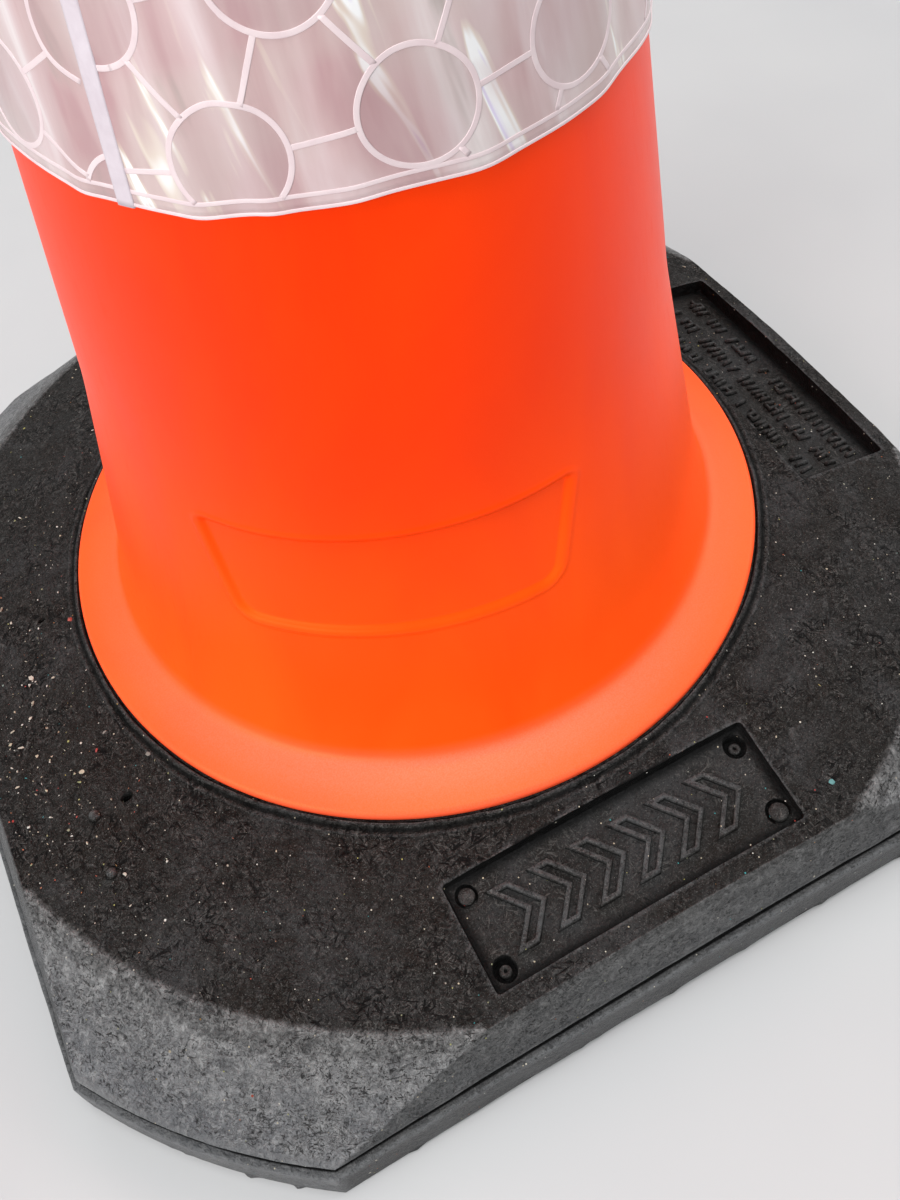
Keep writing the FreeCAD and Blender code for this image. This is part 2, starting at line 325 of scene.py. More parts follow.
def base_rows():
    """The base's section at every point of its outline, from the hole out and round.

    The second result holds numbers for the material, one for each point of the rows.
    """
    crest, crest_share = outline(CREST_HALF, CREST_RADIUS)
    unit = crest / np.linalg.norm(crest, axis=1)[:, None]
    crest_at = ring(crest, CREST_HEIGHT)
    lip, share = outline(BASE_HALF, CORNER_RADIUS)
    rise = ARCH_RISE * (1 - share ** 2)
    insets = (RIDGE_INSET, RIDGE_INSET + GROOVE_DEPTH, RIDGE_INSET + GROOVE_FOOT)
    ridge, groove, foot = (outline(BASE_HALF - inset, CORNER_RADIUS - inset)[0] for inset in insets)
    top_of_lip = LIP_HEIGHT + rise
    flash_at = ring(lip, 0.0)
    flash = np.clip(waves(flash_at, 13, 5) * 0.5 + waves(flash_at, 5, 6) * 0.5 - 0.4, 0, 1.5)[:, None]
    ragged = lip * (1 + flash * 0.0026)
    crest_softness = np.where(crest_share < 1, 3.0, 7.0)[:, None]
    spill = crest * np.where(crest_share < 1, 0.996, 0.983)[:, None]
    rim = (RIM_RADIUS + 0.16 * waves(crest_at, 60, 31) + 0.08 * waves(crest_at, 14, 32))[:, None]
    # Each key ends with wear and sheen (real wear with painted sheen on the slopes) and light and shade
    # (above 0 an exposed edge lightened by wear and a painted highlight, below 0 painted shade, as in the
    # moat and the groove).
    keys = [
        (ring(unit * HOLE_RADIUS, SEAT_HEIGHT), 0, 6, 0, 0),
        (ring(unit * (MOAT_RADIUS - 0.1), SEAT_HEIGHT), 0.3, 0, 0, 0),
        (ring(unit * MOAT_RADIUS, SEAT_HEIGHT - 0.9), 0.1, 0, 0, -1),
        (ring(unit * (MOAT_RADIUS + 0.1), SEAT_HEIGHT - 0.9), 0.1, 0, 0, -1),
        (ring(unit * rim, SEAT_HEIGHT + 1.3), 0.35, 0, 0, 0.6),
        (ring(unit * (rim + 1.0), SEAT_HEIGHT + 1.1), 0.4, 0, 0, 0.3),
        (ring(unit * (rim + 2.0), TOP_HEIGHT - 0.5), 0.6, 0, 0, -0.7),
        (ring(unit * (rim + 4.2), TOP_HEIGHT), 0.5, 0, 0, 0.3),
        (ring(unit * (rim + 5.2), TOP_HEIGHT - 0.7), 0.6, 31, 0, -0.2),
        (ring(spill, crowned(*spill.T)), 0, 3, 0, 0),
        (ring(crest, crowned(*crest.T)), crest_softness, 22, 0.5, 0),
        (ring(ridge, LIP_HEIGHT + GROOVE_HEIGHT + 0.8 + rise), 0.9, 0, 1, 1),
        (ring(groove, LIP_HEIGHT + GROOVE_HEIGHT - 0.1 + rise), 0.3, 0, 1, -1),
        (ring(foot, top_of_lip - 0.9), 0.3, 2, 1, -1),
        (ring(lip * 0.998, top_of_lip), 1.1, 4, 0.8, 1),
        (ring(lip, 1.8 + rise), 0.5, 0, 0.6, 0),
        (ring(ragged, 0.7 + rise), 0.3, 0, 0.4, 0),
        (ring(ragged, rise), 0.2, 0, 0, 0),
    ]
    rows, wear_and_sheen, edge_light_and_shade = rounded_rows(keys)
    below_ridge = [float(row[:, 2].mean() < LIP_HEIGHT + GROOVE_HEIGHT + 4.5) for row in rows]
    floor = unit * LEDGE_RADIUS
    outer = rows[-1][:, :2]
    for t in np.linspace(0, 1, 15)[1:]:
        xy = (1 - t) * outer + t * floor
        rows.append(ring(xy, underside(*xy.T)))
    rows.append(ring(floor, LEDGE_HEIGHT))
    rows.append(ring(unit * HOLE_RADIUS, LEDGE_HEIGHT))
    plain = len(rows) - len(wear_and_sheen)
    marks = {}
    for name, values in (("wear_and_sheen", wear_and_sheen), ("edge_light_and_shade", edge_light_and_shade), ("lip", below_ridge)):
        marks[name] = np.repeat(values + [0.0] * plain, len(share))
    # Facing halves the painted sheen of the slopes on the straight sides, against that on the corners.
    marks["facing"] = np.tile(1.0 - 0.50 * smoothstep(0, 0.03, 1 - share), len(rows))
    return rows, marks


def rounded_rectangle(x_low, x_high, y_low, y_high, radius, steps=5):
    """Points round a rectangle with rounded corners, and the outward direction at each."""
    middle = np.array([x_low + x_high, y_low + y_high]) / 2
    points, outward = [], []
    for quarter, corner in enumerate(((x_high, y_high), (x_low, y_high), (x_low, y_low), (x_high, y_low))):
        centre = corner - radius * np.sign(corner - middle)
        for angle in np.linspace(0, math.pi / 2, steps) + quarter * math.pi / 2:
            outward.append(np.array([math.cos(angle), math.sin(angle)]))
            points.append(centre + radius * outward[-1])
    spots, directions = [], []
    for index, here in enumerate(points):
        ahead = points[(index + 1) % len(points)]
        count = max(1, int(np.linalg.norm(ahead - here) / 3))
        spots.extend([here + (ahead - here) * k / count for k in range(count)])
        directions.extend([outward[index]] * count)
    return np.array(spots), np.array(directions)


def pocket_cutter(panel, floor, pile):
    """Closed cutter for a moulded panel: drafted walls, a soft edge, and a flat floor."""
    spots, outward = rounded_rectangle(*panel, 1.6)
    middle = spots.mean(axis=0)
    half = np.array([panel[1] - panel[0], panel[3] - panel[2]]) / 2
    inner = middle + (spots - middle) * (1 - 5.0 / half)
    levels = [(-1.4, floor, 0), (-0.7, floor, 0.1), (-0.4, floor, 0.6), (0.0, crowned, -0.6),
              (0.15, crowned, -0.2), (0.6, crowned, 0.1), (3.0, crowned, 8.0)]
    loops = [ring(inner, floor(*inner.T))]
    for grow, surface, rise in levels:
        here = spots + outward * grow
        loops.append(ring(here, surface(*here.T) + rise))
    pile.add(*capped(loops))


def paint_pockets(made):
    """Paints light and shade on the two panels and the holes: lighter rims, partly wear and partly painted
    highlight; painted shade on the walls, on the floors near the walls and inside every hole. Also marks the
    panels' smooth skin.
    """
    x, y, z = read_points(made)[0].T
    edge_light_and_shade, lip = painted(made, "edge_light_and_shade"), painted(made, "lip")
    reach = np.hypot(x, y)
    on_top = (reach > 157) & (reach < CREST_RADIUS - 4) & (z > 30)
    on_top &= np.maximum(abs(x), abs(y)) < CREST_HALF - 4
    depth = crowned(x, y) - z
    # Painted shade inside every hole.
    edge_light_and_shade[on_top & (depth > 1.2)] = -1.0
    for (x_low, x_high, y_low, y_high), floor in ((FRONT_PANEL, front_floor), (SIDE_PANEL, side_floor)):
        inward = -np.maximum(np.maximum(x_low - x, x - x_high), np.maximum(y_low - y, y - y_high))
        above = z - floor(x, y)
        inside = on_top & (inward > -1.0) & (above > -0.3)
        # Lighter panel rims (wear and painted highlight), painted shade on the walls and on the floor near
        # the walls.
        edge_light_and_shade[inside] = np.where(depth < 0.5, 0.6, -0.95)[inside]
        bottom = inside & (above < 0.3)
        edge_light_and_shade[bottom] = -0.95 + 0.70 * smoothstep(0.8, 4.0, inward[bottom])
        lip[inside & (depth > 0.5)] = 1.0
    paint(made, "edge_light_and_shade", edge_light_and_shade)
    paint(made, "lip", lip)


def spun(profile, steps=24):
    """Closed shell turned about Z from (radius, height) points that start and end on the axis."""
    inner = profile[1:-1]
    angle = np.arange(steps) * TAU / steps
    rows = [np.column_stack([r * np.cos(angle), r * np.sin(angle), np.full(steps, z)]) for r, z in inner]
    points = np.concatenate(rows + [[[0, 0, profile[0][1]], [0, 0, profile[-1][1]]]])
    faces = grid_quads(len(inner), steps).tolist()
    first, last = len(points) - 2, len(points) - 1
    base = (len(inner) - 1) * steps
    for k in range(steps):
        n = (k + 1) % steps
        faces.append([first, n, k])
        faces.append([last, base + k, base + n])
    return points, faces


def stud(pile, profile, x, y, surface, steps=24, stretch=(1, 1, 1), edges=(0, 0, 0)):
    """Adds a small turned shape that stands at x, y on a surface.

    Edges are a height of the profile, and the painted light and shade of its points above and below it.
    """
    points, faces = spun(profile, steps)
    divide, above, below = edges
    edge_light_and_shade = np.where(points[:, 2] > divide, above, below)
    pile.add(points * stretch + [x, y, surface(x, y)], faces, edge_light_and_shade)


def front_floor(x, y):
    """Height of the front panel's floor, which slopes down outwards."""
    return CREST_HEIGHT + CROWN * (CREST_RADIUS + y) - FRONT_DEPTH + 0 * x


def side_floor(x, y):
    """Height of the side panel's floor, which slopes down outwards."""
    return CREST_HEIGHT + CROWN * (CREST_RADIUS - x) - SIDE_DEPTH + 0 * y


def mark_places():
    """Centres of the four round marks in the front panel; the second pair are recessed."""
    left, right = FRONT_PANEL[0] + 6.5, FRONT_PANEL[1] - 6.5
    near, far = FRONT_PANEL[2] + 6.5, FRONT_PANEL[3] - 6.5
    return [(left, far), (right, near)], [(left, near), (right, far)]


def moulded_base():
    """The whole base, with its two panels and every hole cut into it."""
    rows, marks = base_rows()
    points = np.concatenate(rows)
    faces = grid_quads(len(rows), len(rows[0]), close_rows=True)
    made = add_object("base_rubber", points, facing_out(points, faces))
    for name, values in marks.items():
        paint(made, name, values)
    points, normals = read_points(made)
    reach = np.hypot(*points[:, :2].T)
    outside = smoothstep(154, 158, reach) * smoothstep(1.5, 5, points[:, 2])
    on_top = smoothstep(203, 194, np.abs(points[:, :2]).max(axis=1)) * smoothstep(217, 207, reach)
    bumps = 0.10 * waves(points, 46, 11)
    bumps += (0.3 + 0.7 * on_top) * (0.20 * waves(points, 15, 12, 40) + 0.09 * waves(points, 6, 13, 50))
    write_points(made, points + normals * (bumps * outside)[:, None])
    pockets, pile = Pile(), Pile()
    pocket_cutter(FRONT_PANEL, front_floor, pockets)
    pocket_cutter(SIDE_PANEL, side_floor, pockets)
    cut(made, pockets.build("pocket_cutters"))
    raised, sunk = mark_places()
    for x, y in sunk:
        stud(pile, [(0, -2.6), (4.0, -2.6), (4.6, 0.2), (5.2, 1.0), (0, 1.0)], x, y, front_floor)
    for (x, y), radius in zip(raised, (4.0, 4.6)):
        profile = [(0, -0.9), (radius, -0.9), (radius + 0.3, 0.2), (radius + 0.5, 1.0), (0, 1.0)]
        stud(pile, profile, x, y, front_floor)
    pinholes = [(-156.5, -66, 2.1, 4.5), (-163, 31, 1.5, 2.0), (-22, 187, 1.7, 2.4), (171, 121, 1.6, 1.8)]
    for x, y, radius, depth in pinholes:
        profile = [(0, -depth), (radius * 0.6, -depth), (radius, 0.2), (radius * 1.5, 0.6), (0, 0.6)]
        stud(pile, profile, x, y, crowned, steps=18, stretch=(1.35, 0.9, 1))
    cut(made, pile.build("hole_cutters"))
    paint_pockets(made)
    return made


def strip(path, floor, width, height):
    """Raised moulded line along a closed flat path, with sloping sides, set 1 mm into the floor.

    Returns its points, its faces and the painted light and shade of each point: lighter tops, painted shade
    at the foot.
    """
    path = np.asarray(path, dtype=float)
    count = len(path)
    ahead = np.roll(path, -1, axis=0) - path
    ahead /= np.linalg.norm(ahead, axis=1)[:, None]
    behind = np.roll(ahead, 1, axis=0)
    across = np.column_stack([-ahead[:, 1], ahead[:, 0]])
    before = np.column_stack([-behind[:, 1], behind[:, 0]])
    mitre = across + before
    mitre /= (mitre * across).sum(axis=1)[:, None]
    rows = []
    for side, level in ((-0.8, -1.0), (-0.68, 0.0), (-0.42, 1.0), (0.42, 1.0), (0.68, 0.0), (0.8, -1.0)):
        xy = path + mitre * (side * width)
        rows.append(ring(xy, floor(*xy.T) + (height if level > 0 else level)))
    strip_light_and_shade = np.repeat([-1.0, -1.0, 0.45, 0.45, -1.0, -1.0], count)
    return np.concatenate(rows), grid_quads(len(rows), count, close_rows=True), strip_light_and_shade


def slab(pile, corners, floor, height):
    """Solid raised bar with sloping sides on a panel's floor."""
    corners = np.asarray(corners, dtype=float)
    middle = corners.mean(axis=0)
    rows = []
    for spread, level in ((1.15, -1.0), (1.12, 0.0), (0.86, height)):
        xy = middle + (corners - middle) * spread
        rows.append(ring(xy, floor(*xy.T) + level))
    # Painted shade at the bar's foot, a lighter top.
    pile.add(*capped(rows), np.repeat([-1.0, -1.0, 0.3], len(corners)))


def side_bars(pile):
    """Three rows of short raised bars of uneven length, some with a bar across one end."""
    rng = np.random.default_rng(41)
    for row in range(3):
        x = SIDE_PANEL[0] + 9.0 + row * 12.5
        y = SIDE_PANEL[2] + 6.0
        while y < SIDE_PANEL[3] - 8.0:
            lean = rng.uniform(-1.2, 1.2)
            half = rng.uniform(2.4, 3.6)
            width = rng.uniform(1.1, 1.6)
            left, right = x - half, x + half
            slab(pile, [(left, y), (right, y + lean), (right, y + lean + width), (left, y + width)],
                 side_floor, 2.0)
            if rng.random() < 0.55:
                side = x + rng.choice([-1, 0, 1]) * (half - 0.7)
                left, right, near, far = side - 0.6, side + 0.6, y + 0.4, y + 4.2
                slab(pile, [(left, near), (right, near), (right, far), (left, far)], side_floor, 1.9)
            y += rng.uniform(2.6, 4.6) + (4.5 if rng.random() < 0.15 else 0)


def arrowheads(pile):
    """A row of raised outlines of arrowheads along the front panel."""
    reach, arm, thick = 9.0, 10.5, 6.0
    head = np.array([(-thick, -arm), (reach - thick, 0), (-thick, arm), (0, arm), (reach, 0), (0, -arm)])
    middle = (FRONT_PANEL[2] + FRONT_PANEL[3]) / 2
    for index in range(6):
        place = (FRONT_PANEL[0] + 21.0 + index * 16.6, middle)
        pile.add(*strip(head + place, front_floor, 1.7, 1.7))


def panel_relief():
    """Plain raised relief in the two panels: arrowheads in front, short bars at the side."""
    pile = Pile()
    raised, sunk = mark_places()
    # Each stud's edges paint light and shade: painted shade low down and in the sunk holes, lighter tops.
    for (x, y), radius in zip(raised, (3.2, 3.7)):
        profile = [(0, -1.0), (radius, -1.0), (radius - 0.2, 0.7), (radius - 0.6, 1.0), (0, 0.9)]
        stud(pile, profile, x, y, front_floor, edges=(0, 0.22, -1.0))
    for x, y in sunk:
        profile = [(0, -3.2), (2.4, -3.2), (2.2, -1.2), (1.7, -0.9), (0.8, -0.9), (0.6, -1.8), (0, -1.8)]
        stud(pile, profile, x, y, front_floor, steps=18, edges=(-1.5, 0.2, -0.9))
    nubs = [(-170.0, -66.0, 2.1), (-171.5, -90.0, 1.9), (14.0, 181.0, 1.7), (-96.0, 149.0, 1.6)]
    for x, y, radius in nubs:
        profile = [(0, -1.5), (radius * 1.25, -1.5), (radius * 1.15, 0.2), (radius * 0.9, 1.6),
                   (radius * 0.45, 2.5), (0, 2.7)]
        stud(pile, profile, x, y, crowned, steps=16, edges=(1, 0.7, -0.6))
    arrowheads(pile)
    side_bars(pile)
    made = pile.build("base_panel_relief")
    paint(made, "edge_light_and_shade", np.concatenate(pile.edges))
    paint(made, "lip", np.ones(pile.count))
    return made


def rubber_chips():
    """Crumbs of other colours pressed into the top of the base, most of them on the -X side."""
    rng = np.random.default_rng(77)
    icosphere = bmesh.new()
    bmesh.ops.create_icosphere(icosphere, subdivisions=1, radius=1.0)
    ball = np.array([v.co[:] for v in icosphere.verts])
    faces = [[v.index for v in f.verts] for f in icosphere.faces]
    icosphere.free()
    pile, shades = Pile(), []
    while len(shades) < 520:
        x, y = rng.uniform(-204, 204, 2)
        radius = math.hypot(x, y)
        crowded = math.exp(-((x + 190) / 42) ** 2 - ((y + 25) / 70) ** 2)
        thinned = rng.random() > 0.05 + 0.95 * crowded
        in_panel = any(low_x - 2 < x < high_x + 2 and low_y - 2 < y < high_y + 2
                       for low_x, high_x, low_y, high_y in (FRONT_PANEL, SIDE_PANEL))
        if not 153 < radius < 216 or max(abs(x), abs(y)) > 202 or thinned or in_panel:
            continue
        size = 0.15 + 0.26 * rng.random() ** 2 + (0.75 * rng.random() if rng.random() < 0.10 else 0)
        stretch = rng.uniform(0.45, 1.8, 3) * [1, 1, 0.45]
        turn = np.array(Matrix.Rotation(rng.uniform(0, TAU), 3, "Z"))
        bits = (ball * rng.uniform(0.55, 1.35, (len(ball), 1)) * stretch) @ turn.T * size
        pile.add(bits + [x, y, crowned(x, y) + 0.1], faces)
        shades.append(rng.random())
    made = pile.build("base_rubber_chips", smooth=False)
    paint(made, "shade", np.repeat(shades, len(ball)))
    return made


# ---- orange body ----------------------------------------------------------------------
def arc_points(start, middle, end, steps):
    """Points along the arc through three points of a profile."""
    (ax, ay), (bx, by), (cx, cy) = start, middle, end
    d = 2 * (ax * (by - cy) + bx * (cy - ay) + cx * (ay - by))
    ux = ((ax**2 + ay**2) * (by - cy) + (bx**2 + by**2) * (cy - ay) + (cx**2 + cy**2) * (ay - by)) / d
    uy = ((ax**2 + ay**2) * (cx - bx) + (bx**2 + by**2) * (ax - cx) + (cx**2 + cy**2) * (bx - ax)) / d
    first, last = math.atan2(ay - uy, ax - ux), math.atan2(cy - uy, cx - ux)
    turn = (last - first + math.pi) % TAU - math.pi
    radius = math.hypot(ax - ux, ay - uy)
    return [(ux + radius * math.cos(first + turn * t), uy + radius * math.sin(first + turn * t))
            for t in np.linspace(0, 1, steps)]


def soften(profile, rounding, steps):
    """Rounds every corner of a closed profile of (radius, height) points."""
    count = len(profile)
    out = []
    for index in range(count):
        here = np.array(profile[index])
        back = np.array(profile[index - 1]) - here
        front = np.array(profile[(index + 1) % count]) - here
        a, b = np.linalg.norm(back), np.linalg.norm(front)
        start = here + back / a * min(rounding, 0.4 * a)
        end = here + front / b * min(rounding, 0.4 * b)
        for t in np.linspace(0, 1, steps):
            out.append(tuple(bend(start, here, end, t)))
    return out


def body_profile():
    """Section of the body: outside from the skirt up to the socket, then down the inside."""
    skirt = HOLE_RADIUS - 0.4
    shoulder = 690.0
    crease = (127.5, 70.5)
    flare_top = (float(outer_radius(100.0)), 100.0)
    chord = math.dist(crease, flare_top)
    turn = math.atan2(crease[0] - flare_top[0], flare_top[1] - crease[1]) - math.atan(LOWER_TAPER)
    sag = chord / 2 * math.tan(turn / 2)
    middle = ((crease[0] + flare_top[0]) / 2 - sag * (flare_top[1] - crease[1]) / chord,
              (crease[1] + flare_top[1]) / 2 - sag * (crease[0] - flare_top[0]) / chord)
    flange = FLANGE_RADIUS
    outside = [(skirt - WALL, 40.0), (skirt, 40.0), (skirt, 62.8), (skirt + 3.5, 67.0), (127.0, 67.0),
               (142.5, 62.0), (143.0, SEAT_HEIGHT + 0.05), (flange - 0.4, SEAT_HEIGHT + 0.05),
               (flange, SEAT_HEIGHT + 0.5), (flange, 63.4)]
    outside += arc_points((flange, 63.4), (flange - 0.6, 64.8), (flange - 2.0, 65.5), 6)[1:]
    outside += [(r, 65.5 + (flange - 2.0 - r) * 0.277) for r in (142.0, 139.0, 136.0, 133.0, 131.0)]
    outside += [(129.8, 69.95), (129.0, 70.4), (128.2, 70.9), (127.5, 71.6), (127.0, 72.5), (126.6, 73.7)]
    flare = arc_points(crease, middle, flare_top, 24)
    outside += [spot for spot in flare if spot[1] > 75]
    for low, high, step in ((104, LABEL_LOW - 5, 4), (LABEL_LOW - 5, LABEL_HIGH + 5, 0.5),
                            (LABEL_HIGH + 6, 206, 4), (210, shoulder - 6, 8)):
        outside += [(outer_radius(z), z) for z in np.arange(low, high, step)]
    top = [(outer_radius(shoulder - 3), shoulder - 3), (outer_radius(shoulder) - 1.2, shoulder),
           (NECK_RADIUS + 0.6, 699.0), (NECK_RADIUS, 702.0), (NECK_RADIUS, 714.0), (NECK_RADIUS + 0.7, 717.0),
           (COLLAR_RADIUS - 0.8, 720.3), (COLLAR_RADIUS, 722.5), (COLLAR_RADIUS, 742.5)]
    top += arc_points((COLLAR_RADIUS, 742.5), (43.0, 747.9), (38.0, TOTAL_HEIGHT), 8)[1:]
    top += [(SOCKET_RADIUS + 1.2, TOTAL_HEIGHT), (SOCKET_RADIUS + 0.3, TOTAL_HEIGHT - 0.4),
            (SOCKET_RADIUS, TOTAL_HEIGHT - 1.4), (SOCKET_RADIUS, 701.0), (SOCKET_RADIUS + 1, 699.5)]
    inside = [(44.0, 686.5), (outer_radius(679) - WALL, 679.0)]
    inside += [(outer_radius(z) - WALL, z) for z in np.arange(650, 90, -20)]
    inside += [(outer_radius(84) - WALL, 84.0), (skirt - WALL, 63.0)]
    return outside + top + inside


def label_mask(angle, z):
    """1 inside the label panel, easing to 0 over its rounded rim, and the distance past that rim."""
    across = outer_radius(z) * np.sin(angle - math.radians(LABEL_ANGLE))
    facing = np.cos(angle - math.radians(LABEL_ANGLE)) > 0
    middle = (LABEL_LOW + LABEL_HIGH) / 2
    half_height = (LABEL_HIGH - LABEL_LOW) / 2
    share = np.clip((z - LABEL_LOW) / (LABEL_HIGH - LABEL_LOW), 0, 1)
    half_width = LABEL_HALF_LOW + (LABEL_HALF_HIGH - LABEL_HALF_LOW) * share
    radius = 3.0 + 2.5 * (1 - smoothstep(0.35, 0.65, share))
    dx = np.abs(across) - half_width + radius
    dz = np.abs(z - middle) - half_height + radius
    outside = np.hypot(np.maximum(dx, 0), np.maximum(dz, 0))
    distance = outside + np.minimum(np.maximum(dx, dz), 0) - radius
    return np.where(facing, 1 - smoothstep(-1.0, 0.7, distance), 0), np.where(facing, distance, 99.0)


def body_columns():
    """Angles round the body, close together across the label panel."""
    centre, half = math.radians(LABEL_ANGLE), math.radians(41)
    fine = np.linspace(centre - half, centre + half, 225, endpoint=False)
    coarse = np.linspace(centre + half, centre - half + TAU, 138, endpoint=False)
    return np.concatenate([fine, coarse])


def moulded_body():
    """The orange shell, with the label recess pressed into its wall."""
    profile = np.array(body_profile())
    angle = body_columns()
    radius, z = (np.repeat(profile[:, k], len(angle)) for k in (0, 1))
    around = np.tile(angle, len(profile))
    outer = (np.abs(radius - outer_radius(z)) < 0.01) & (z > 100)
    mask, distance = label_mask(around, z)
    lip = 0.42 * np.exp(-((distance - 2.0) / 1.0) ** 2) * (distance < 90)
    radius = radius + np.where(outer, lip - LABEL_DEPTH * mask, 0)
    points = np.column_stack([radius * np.cos(around), radius * np.sin(around), z])
    faces = grid_quads(len(profile), len(angle), close_rows=True)
    made = add_object("cone_body_shell", points, facing_out(points, faces))
    points, normals = read_points(made)
    outside = smoothstep(66, 74, z) * (normals[:, 0] * points[:, 0] + normals[:, 1] * points[:, 1] > 0)
    drift = 0.10 * waves(points * [1, 1, 0.6], 95, 21) + 0.02 * waves(points, 30, 22)
    write_points(made, points + normals * (drift * outside)[:, None])
    # Painted sheen on the flange: paler and pinker, strongest on the side towards the camera and fading
    # outwards.
    away = np.abs((around - math.radians(SHEEN_ANGLE) + math.pi) % TAU - math.pi)
    sheen = 0.30 + 0.70 * np.exp(-(away / 0.95) ** 2)
    outward_fade = 1 - 0.45 * smoothstep(133, 146, radius)
    paint(made, "flange", smoothstep(125.2, 130.0, radius) * outward_fade * (z > SEAT_HEIGHT) * sheen)
    # Foot: 1 low on the wall, 0 higher up; it drives the painted light and the painted glow at the foot.
    paint(made, "foot", (1 - smoothstep(85, 235, z)) * (z > SEAT_HEIGHT))
    return made


def skirt_tongues():
    """The skirt below the flange, slit into six lug tongues and six plain stretches."""
    pile = Pile()
    inner, outer = HOLE_RADIUS - 0.4 - WALL, HOLE_RADIUS - 0.4
    plain = [(inner, SKIRT_LOW), (inner, 41.0), (outer, 41.0), (outer, SKIRT_LOW)]
    hooked = [(inner, SKIRT_LOW), (inner, 41.0), (outer, 41.0), (outer, 13.7), (outer + 4.2, 13.5),
              (outer + 4.2, 11.6), (outer, SKIRT_LOW + 0.2)]
    gap = math.degrees(2.0 / outer) / 2
    for index in range(6):
        middle = 60.0 * index
        for profile, first, last in ((hooked, middle - 10 + gap, middle + 10 - gap),
                                     (plain, middle + 10 + gap, middle + 50 - gap)):
            section = np.array(soften(profile, 0.5, 3))
            angles = np.radians(np.linspace(first, last, 14))
            rows = [np.column_stack([section[:, 0] * math.cos(a), section[:, 0] * math.sin(a), section[:, 1]])
                    for a in angles]
            pile.add(*capped(rows))
    return pile.build("cone_body_skirt")


# ---- reflective sleeve ----------------------------------------------------------------
SINE = TAPER / math.hypot(1, TAPER)
SHEET_MIDDLE = math.radians(SEAM_ANGLE + 180)
FILM_INSET = 1.5
RING_RADIUS = 14.6
RING_PITCH = 45.79
RING_TILT = math.radians(5.33)
FIRST_RING_ANGLE, FIRST_RING_HEIGHT = math.radians(-97.6), 311.0
FIRST_RING_SHIFT = (0.73, 0.78)
WELD_HALF_WIDTH = 0.78
BORDER = 4.0


def sheet_place(angle, z):
    """Where a point of the sleeve lies on its flat, unrolled sheet, in millimetres."""
    rho = (outer_radius(z) + FILM_INSET) / SINE
    turn = (angle - SHEET_MIDDLE + math.pi) % TAU - math.pi
    return rho * np.cos(turn * SINE), rho * np.sin(turn * SINE)


def sleeve_place(x, y):
    """The angle and height on the sleeve of a point of its flat sheet."""
    rho = np.hypot(x, y)
    return np.arctan2(y, x) / SINE + SHEET_MIDDLE, (WALL_RADIUS + FILM_INSET - rho * SINE) / TAPER


def folds(angle, z):
    """Outward ripples of the loose film, in millimetres, always 0 or more."""
    rng = np.random.default_rng(9)
    total = np.zeros_like(angle)
    chosen = [(-131, 3.4, 1.5, -0.055), (-120, 2.6, 1.0, -0.10), (-108, 3.5, 1.1, 0.06),
              (-152, 3.0, 1.6, 0.03), (-64, 4.0, 1.5, 0.09), (-88, 4.5, 0.8, -0.05)]
    ranges = ((-50, 200), (2.4, 5.5), (0.5, 1.6), (-0.08, 0.08))
    scattered = [[rng.uniform(low, high) for low, high in ranges] for _ in range(22)]
    for centre, width, rise, slant in chosen + scattered:
        away = (np.degrees(angle) - centre - slant * (z - SLEEVE_LOW) + 180) % 360 - 180
        share = (z - SLEEVE_LOW) / (SLEEVE_HIGH - SLEEVE_LOW)
        fade = 0.35 + 0.65 * np.cos(share * math.pi * 0.8 + centre) ** 2
        total += rise * fade * np.exp(-(away / width) ** 2)
    return total


def sheet_edge(angle):
    """How far the sleeve's cut edges wander up and down."""
    return 0.7 * np.sin(3 * angle + 0.6) + 0.5 * np.sin(7 * angle + 2.0) + 0.25 * np.sin(17 * angle)


def film_point(angle, z, lift=0.0):
    """A point of the film's outer face, lifted by so many millimetres."""
    radius = outer_radius(z) + FILM_INSET + folds(angle, z) + lift
    share = (z - SLEEVE_LOW) / (SLEEVE_HIGH - SLEEVE_LOW)
    return np.column_stack([radius * np.cos(angle), radius * np.sin(angle),
                            z + sheet_edge(angle) * (1 - share) + 0.5 * sheet_edge(angle + 2) * share])


def ring_centres():
    """Centres of the welded rings on the flat sheet, a slightly turned triangular lattice."""
    first = np.array(sheet_place(FIRST_RING_ANGLE, FIRST_RING_HEIGHT)) + FIRST_RING_SHIFT
    across = (FIRST_RING_ANGLE - SHEET_MIDDLE) * SINE + math.pi / 2 + RING_TILT
    step_a, step_b = (RING_PITCH * np.array([math.cos(turn), math.sin(turn)])
                      for turn in (across, across + math.pi / 3))
    centres = {}
    for i in range(-16, 17):
        for j in range(-24, 25):
            x, y = first + i * step_a + j * step_b
            angle, z = sleeve_place(x, y)
            in_sheet = abs(angle - SHEET_MIDDLE) < math.pi + 0.25
            if in_sheet and SLEEVE_LOW - RING_PITCH < z < SLEEVE_HIGH + RING_PITCH:
                centres[i, j] = np.array([x, y])
    return centres


def links_from(centres, i, j):
    """Directions from one ring to those of its neighbours that come after it."""
    for step_i, step_j in ((1, 0), (0, 1), (-1, 1)):
        other = centres.get((i + step_i, j + step_j))
        if other is not None:
            yield (other - centres[i, j]) / RING_PITCH


def weld_paths():
    """Flat paths of the welded rings and the short lines that join them, each with its height."""
    centres = ring_centres()
    turn = np.linspace(0, TAU, 97)
    circle = RING_RADIUS * np.column_stack([np.cos(turn), np.sin(turn)])
    along = np.linspace(RING_RADIUS, RING_PITCH - RING_RADIUS, 16)[:, None]
    paths = []
    for (i, j), centre in centres.items():
        paths.append((centre + circle, 0.07))
        paths += [(centre + ahead * along, 0.055) for ahead in links_from(centres, i, j)]
    return paths


